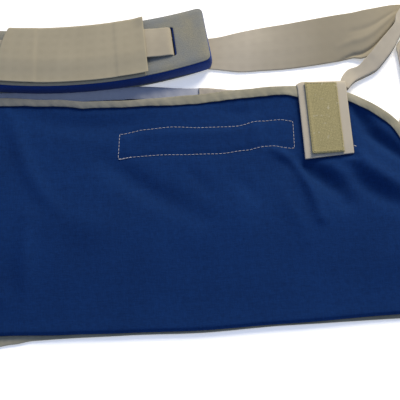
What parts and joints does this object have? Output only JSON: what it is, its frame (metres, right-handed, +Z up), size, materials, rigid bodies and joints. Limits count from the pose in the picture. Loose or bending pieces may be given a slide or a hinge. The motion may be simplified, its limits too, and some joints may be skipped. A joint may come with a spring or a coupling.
{
  "type": "arm sling",
  "caption": "Cloth forearm pouch bound with tape, on a webbing shoulder strap with a curved pad, keeper sleeve, ring and hook-tape tab, laid flat.",
  "frame": {"origin": "middle of the pouch's underside, on the surface it lies on", "axes": "+X along the pouch towards the hand end, +Y from the bottom seam to the mouth, +Z up out of the surface"},
  "size_m": [0.552, 0.3015, 0.022],
  "materials": {
    "pouch_cloth": "plain-weave cotton blend, dull, soft folds",
    "binding_tape": "woven cotton tape, slightly puckered along the stitching",
    "webbing": "soft ribbed cotton webbing, creased",
    "sleeve_cloth": "smooth woven tape cloth, pressed flat",
    "hook_tape": "nylon hook tape, fine bristly rows",
    "loop_tape": "napped nylon loop tape",
    "pad_foam": "closed-cell foam, die-cut edge",
    "pad_skin": "brushed knit laminated to the foam",
    "ring_steel": "welded steel wire, bright plated"
  },
  "bodies": {
    "pouch": {"back_panel": "pouch_cloth", "front_panel": "pouch_cloth", "back_binding": "binding_tape", "front_binding": "binding_tape", "elbow_binding": "binding_tape", "bottom_tape": "binding_tape", "loop_tape": "loop_tape", "elbow_strap": "webbing", "hand_strap": "webbing", "ring_anchor": "webbing"},
    "shoulder_pad": {"pad_foam": "pad_foam", "pad_top_skin": "pad_skin", "pad_under_skin": "pad_skin", "pad_strap": "webbing", "sleeve_base": "sleeve_cloth", "sleeve_hook_elbow": "hook_tape", "sleeve_hook_hand": "hook_tape"},
    "sleeve_flap": {"sleeve_flap": "sleeve_cloth", "sleeve_loop_elbow": "loop_tape", "sleeve_loop_hand": "loop_tape"},
    "strap_tab": {"tab": "webbing", "tab_hook": "hook_tape"},
    "ring": {"ring": "ring_steel"}
  },
  "joints": [
    {"name": "pad_slide", "type": "slide", "parent": "pouch", "child": "shoulder_pad", "axis": [1, 0, 0], "range_m": [-0.015, 0.015]},
    {"name": "sleeve_flap_lift", "type": "hinge", "parent": "shoulder_pad", "child": "sleeve_flap", "pos_m": [-0.0585, 0.1727, 0.02105], "axis": [-1, 0, 0], "range_deg": [0, 150]},
    {"name": "tab_lift", "type": "hinge", "parent": "pouch", "child": "strap_tab", "pos_m": [0.141, 0.1064, 0.01115], "axis": [-1, 0, 0], "range_deg": [0, 150]},
    {"name": "ring_turn", "type": "hinge", "parent": "pouch", "child": "ring", "pos_m": [0.238, 0.176, 0.0044], "axis": [0, 0, 1], "continuous": true}
  ]
}
